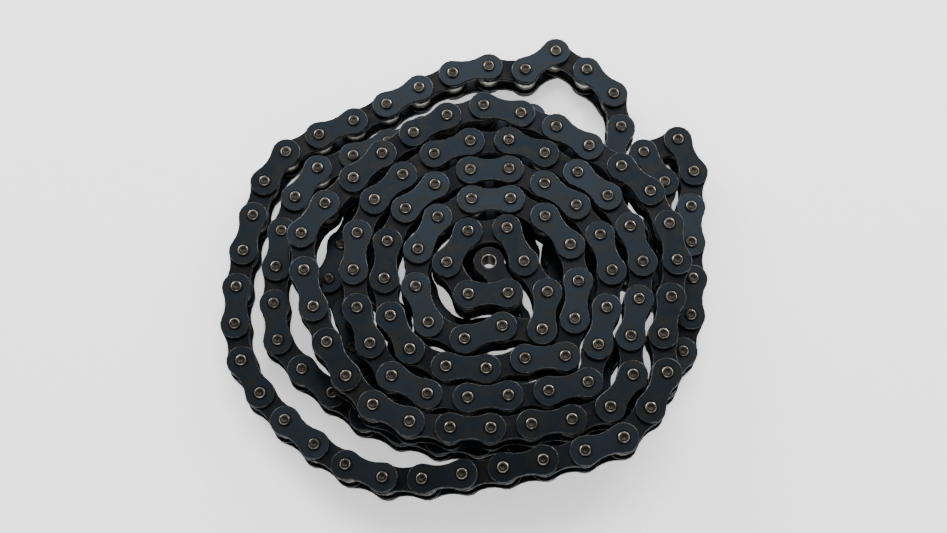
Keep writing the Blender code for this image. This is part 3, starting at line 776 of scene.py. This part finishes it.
class CHAIN_OT_stage(bpy.types.Operator):
    """Makes the pale floor and the soft studio light"""

    bl_idname = "chain.stage"
    bl_label = "Stage"

    def execute(self, context):
        self.add_floor(context)
        for name, place, size, power in LIGHTS:
            data = bpy.data.lights.new(name, "AREA")
            data.shape = "SQUARE"
            data.size = size
            data.energy = power
            light = bpy.data.objects.new(name, data)
            light.location = place
            light.rotation_euler = (-Vector(place)).to_track_quat("-Z", "Y").to_euler()
            context.scene.collection.objects.link(light)
        self.add_soft_light(context)
        return {"FINISHED"}

    def add_floor(self, context):
        """Lays the floor under the heap."""
        mesh = bmesh.new()
        bmesh.ops.create_grid(mesh, x_segments=1, y_segments=1, size=FLOOR_HALF)
        data = bpy.data.meshes.new("floor")
        mesh.to_mesh(data)
        mesh.free()
        floor = bpy.data.objects.new("floor", data)
        context.scene.collection.objects.link(floor)
        # Matt painted board: no gloss, and a little glow that keeps it evenly pale between the turns.
        material, _, shader = new_material("pale_studio_floor")
        colour = (*context.scene.chain_colours.floor, 1.0)
        shader.inputs["Base Color"].default_value = colour
        shader.inputs["Roughness"].default_value = FLOOR_ROUGHNESS
        shader.inputs["Emission Color"].default_value = colour
        shader.inputs["Emission Strength"].default_value = FLOOR_GLOW
        data.materials.append(material)

    def add_soft_light(self, context):
        """Lights the studio softly all round, more from behind the heap than from in front of it."""
        world = bpy.data.worlds.new("studio")
        world.use_nodes = True
        tree = world.node_tree
        way = add_node(tree, "ShaderNodeTexCoord").outputs["Generated"]
        back = add_node(tree, "ShaderNodeSeparateXYZ", links={0: way}).outputs["Y"]
        rise = {"interpolation_type": "SMOOTHSTEP", "From Min": -0.1, "From Max": 0.7,
                "To Min": SOFT_LIGHT_FRONT, "To Max": SOFT_LIGHT_BEHIND}
        strength = add_node(tree, "ShaderNodeMapRange", rise, {"Value": back}).outputs[0]
        background = tree.nodes["Background"]
        background.inputs["Color"].default_value = (*hex_to_linear(SOFT_LIGHT_COLOUR), 1.0)
        tree.links.new(strength, background.inputs["Strength"])
        context.scene.world = world


class CHAIN_OT_outer_plates(bpy.types.Operator):
    """Lays the two outer plates of every outer link"""

    bl_idname = "chain.outer_plates"
    bl_label = "Outer plates"

    def execute(self, context):
        sizes = context.scene.chain_sizes
        colours = context.scene.chain_colours
        shape = plate_shape("outer_plate_shape", sizes.outer_lobe, sizes.outer_waist, OUTER_PLATE_IN * MM,
                            OUTER_PLATE_OUT * MM, sizes.plate_edge)
        # Blanked carbon steel, blued: a blue-black skin with a soft gloss.
        finish = oxide_finish("blued_steel_plate", colours.blued, colours, OUTER_PLATE_ROUGHNESS)
        values = {"Shape": shape, "Second turn": (math.pi, 0.0, 0.0), "Seed": 1, "Finish": finish}
        lay_pieces("outer_plates", 1, HEAP_NODES + FIRST_OUTER_PLATES, values)
        return {"FINISHED"}


class CHAIN_OT_inner_plates(bpy.types.Operator):
    """Lays the two inner plates of every inner link past the free one"""

    bl_idname = "chain.inner_plates"
    bl_label = "Inner plates"

    def execute(self, context):
        sizes = context.scene.chain_sizes
        colours = context.scene.chain_colours
        shape = plate_shape("inner_plate_shape", sizes.inner_lobe, sizes.inner_waist, INNER_PLATE_IN * MM,
                            INNER_PLATE_OUT * MM, sizes.plate_edge)
        # Blanked carbon steel, hardened in oil: a brown-black skin, duller than the outer plates.
        finish = oxide_finish("heat_treated_steel_plate", colours.dark, colours, INNER_PLATE_ROUGHNESS)
        values = {"Shape": shape, "Second turn": (math.pi, 0.0, 0.0), "Seed": 2, "Finish": finish}
        lay_pieces("inner_plates", 2, HEAP_NODES, values)
        return {"FINISHED"}


class CHAIN_OT_pins(bpy.types.Operator):
    """Sets the two riveted pins of every outer link"""

    bl_idname = "chain.pins"
    bl_label = "Pins"

    def execute(self, context):
        colours = context.scene.chain_colours
        shape = pin_shape(context.scene.chain_sizes.pin_radius)
        # Case-hardened alloy steel, ground and riveted: a stained face inside a bright rim.
        finish = ground_finish("riveted_pin_steel", colours.pin, colours.rim)
        values = {"Shape": shape, "Second place": (PITCH * MM, 0.0, 0.0), "Loose turn": 2 * math.pi,
                  "Seed": 3, "Finish": finish}
        lay_pieces("pins", 1, HEAP_NODES + HINGE_PINS, values)
        return {"FINISHED"}


class CHAIN_OT_rollers(bpy.types.Operator):
    """Sets the two rollers of every inner link past the free one"""

    bl_idname = "chain.rollers"
    bl_label = "Rollers"

    def execute(self, context):
        bright = context.scene.chain_colours.roller
        shape = roller_shape(context.scene.chain_sizes.roller_radius)
        # Hardened and ground steel: pale and bright, dulled by a little dust.
        finish = ground_finish("bright_roller_steel", bright, bright, ROLLER_METALLIC)
        values = {"Shape": shape, "Second place": (PITCH * MM, 0.0, 0.0), "Loose turn": 2 * math.pi,
                  "Seed": 4, "Finish": finish}
        lay_pieces("rollers", 2, HEAP_NODES, values)
        return {"FINISHED"}


def bored_plate(mesh, wear, sizes, roll):
    """Adds an inner plate with its two bush holes to a mesh, turned round the link's length."""
    side = Matrix.Rotation(roll, 4, "X")
    outline = plate_outline(sizes.inner_lobe, sizes.inner_waist, FREE_SIDES, FREE_WAIST_POINTS)
    low = INNER_PLATE_IN * MM
    high = INNER_PLATE_OUT * MM
    rings = [[side @ Vector(point) for point in ring]
             for ring in plate_rings(outline, low, high, sizes.plate_edge)]
    rows = add_rings(mesh, rings, wear, PLATE_EDGE_WEAR)
    turns = [-2 * math.pi * step / FREE_SIDES for step in range(FREE_SIDES)]
    radius = PLATE_BORE * MM
    bores = []
    for centre in (0.0, PITCH * MM):
        rim = [(centre + radius * math.cos(turn), radius * math.sin(turn)) for turn in turns]
        wall = [[side @ Vector((x, y, height)) for x, y in rim] for height in (low, high)]
        bores.append(add_rings(mesh, wall, wear, (PLATE_BORE_WEAR,)))
    for level, outer_row in enumerate((rows[0], rows[-1])):
        edges = []
        for row in [outer_row] + [bore[level] for bore in bores]:
            edges += [mesh.edges.get((row[step - 1], row[step])) for step in range(len(row))]
        bmesh.ops.triangle_fill(mesh, use_beauty=True, use_dissolve=False, edges=edges)


def hollow_round(mesh, wear, centre, profile):
    """Adds a turned ring round a pin of the free link, from a closed profile of radius, height and wear."""
    turns = [2 * math.pi * step / FREE_SIDES for step in range(FREE_SIDES)]
    rings = [[(centre + radius * math.cos(turn), radius * math.sin(turn), height) for turn in turns]
             for radius, height, _ in profile]
    add_rings(mesh, rings, wear, [value for _, _, value in profile], closed=True)


def free_link_piece(name, mesh, material):
    """Turns a mesh in the free link's own frame into a piece at the link's place."""
    bmesh.ops.recalc_face_normals(mesh, faces=mesh.faces)
    mark_creases(mesh)
    keep_places(mesh)
    tone = mesh.verts.layers.float.new("tone")
    for vertex in mesh.verts:
        vertex[tone] = FREE_LINK_TONE
    matrix = link_frame(chain_route(), 0)
    matrix.translation = matrix.translation * MM
    mesh.transform(matrix)
    data = bpy.data.meshes.new(name)
    mesh.to_mesh(data)
    mesh.free()
    data.materials.append(material)
    piece = bpy.data.objects.new(name, data)
    bpy.context.scene.collection.objects.link(piece)
    return piece


class CHAIN_OT_free_link(bpy.types.Operator):
    """Makes the free end's inner link: two bored plates and two bushes"""

    bl_idname = "chain.free_link"
    bl_label = "Free link"

    def execute(self, context):
        sizes = context.scene.chain_sizes
        colours = context.scene.chain_colours
        mesh, wear = new_shape()
        for roll in (0.0, math.pi):
            bored_plate(mesh, wear, sizes, roll)
        # The same hardened plate steel as the other inner links.
        finish = oxide_finish("free_end_plate_steel", colours.dark, colours, INNER_PLATE_ROUGHNESS)
        plates = free_link_piece("free_link_plates", mesh, finish)
        rides(plates, "end_link", ("end_inner_plate_upper", "end_inner_plate_lower"))
        mesh, wear = new_shape()
        outside = (BUSH_OUTSIDE - BUSH_GAP) * MM
        inside = BUSH_INSIDE * MM
        half = (INNER_PLATE_OUT + BUSH_PROUD) * MM
        edge = BUSH_EDGE * MM
        profile = ((outside, -half, 0.0), (outside, half, BUSH_END_WEAR),
                   (inside + edge, half, BUSH_RIM_WEAR), (inside, half - edge, 0.0),
                   (inside, edge - half, BUSH_RIM_WEAR), (inside + edge, -half, BUSH_END_WEAR))
        for centre in (0.0, PITCH * MM):
            hollow_round(mesh, wear, centre, profile)
        # Curled and hardened steel strip: stained inside, with a bright rim. The dark inside of the bore is
        # partly stain and partly painted shade.
        finish = ground_finish("bush_steel", colours.pin, colours.rim)
        bushes = free_link_piece("free_link_bushes", mesh, finish)
        rides(bushes, "end_link", ("end_bush_free", "end_bush_hinged"))
        return {"FINISHED"}


class CHAIN_OT_free_rollers(bpy.types.Operator):
    """Makes the free end's two rollers, each of which turns on its bush"""

    bl_idname = "chain.free_rollers"
    bl_label = "Free end's rollers"

    def execute(self, context):
        radius = context.scene.chain_sizes.roller_radius
        bright = context.scene.chain_colours.roller
        # The same steel as the other rollers.
        finish = ground_finish("free_roller_steel", bright, bright, ROLLER_METALLIC)
        half = ROLLER_HALF * MM
        edge = ROLLER_EDGE * MM
        bore = (BUSH_OUTSIDE + ROLLER_BORE_GAP) * MM
        profile = ((radius, edge - half, 0.0), (radius, half - edge, ROLLER_EDGE_WEAR),
                   (radius - edge, half, ROLLER_END_WEAR), (bore, half, 0.0),
                   (bore, -half, ROLLER_END_WEAR), (radius - edge, -half, ROLLER_EDGE_WEAR))
        for body, node, centre in (("free_roller", "end_roller_free", 0.0),
                                   ("hinged_roller", "end_roller_hinged", PITCH * MM)):
            mesh, wear = new_shape()
            hollow_round(mesh, wear, centre, profile)
            piece = free_link_piece(f"{body}_piece", mesh, finish)
            rides(piece, body, (node,))
        return {"FINISHED"}


class CHAIN_PT_heap(bpy.types.Panel):
    """Builds the heap piece by piece"""

    bl_idname = "CHAIN_PT_heap"
    bl_label = "Chain heap"
    bl_space_type = "VIEW_3D"
    bl_region_type = "UI"
    bl_category = "Chain heap"

    def draw(self, context):
        for group in (context.scene.chain_sizes, context.scene.chain_colours):
            for name in group.bl_rna.properties.keys():
                if name not in ("rna_type", "name"):
                    self.layout.prop(group, name)
        for operator in OPERATORS:
            self.layout.operator(operator.bl_idname)


OPERATORS = (
    CHAIN_OT_camera,
    CHAIN_OT_stage,
    CHAIN_OT_outer_plates,
    CHAIN_OT_inner_plates,
    CHAIN_OT_pins,
    CHAIN_OT_rollers,
    CHAIN_OT_free_link,
    CHAIN_OT_free_rollers,
)
CLASSES = (ChainSizes, ChainColours) + OPERATORS + (CHAIN_PT_heap,)


def register():
    """Makes the property groups, operators and panel known to Blender."""
    for cls in CLASSES:
        bpy.utils.register_class(cls)
    bpy.types.Scene.chain_sizes = PointerProperty(type=ChainSizes)
    bpy.types.Scene.chain_colours = PointerProperty(type=ChainColours)


def unregister():
    """Takes them away again."""
    del bpy.types.Scene.chain_colours
    del bpy.types.Scene.chain_sizes
    for cls in reversed(CLASSES):
        bpy.utils.unregister_class(cls)


def main():
    """Builds the whole scene."""
    register()
    bpy.ops.chain.camera()
    bpy.ops.chain.stage()
    bpy.ops.chain.outer_plates()
    bpy.ops.chain.inner_plates()
    bpy.ops.chain.pins()
    bpy.ops.chain.rollers()
    bpy.ops.chain.free_link()
    bpy.ops.chain.free_rollers()


if __name__ == "__main__":
    main()
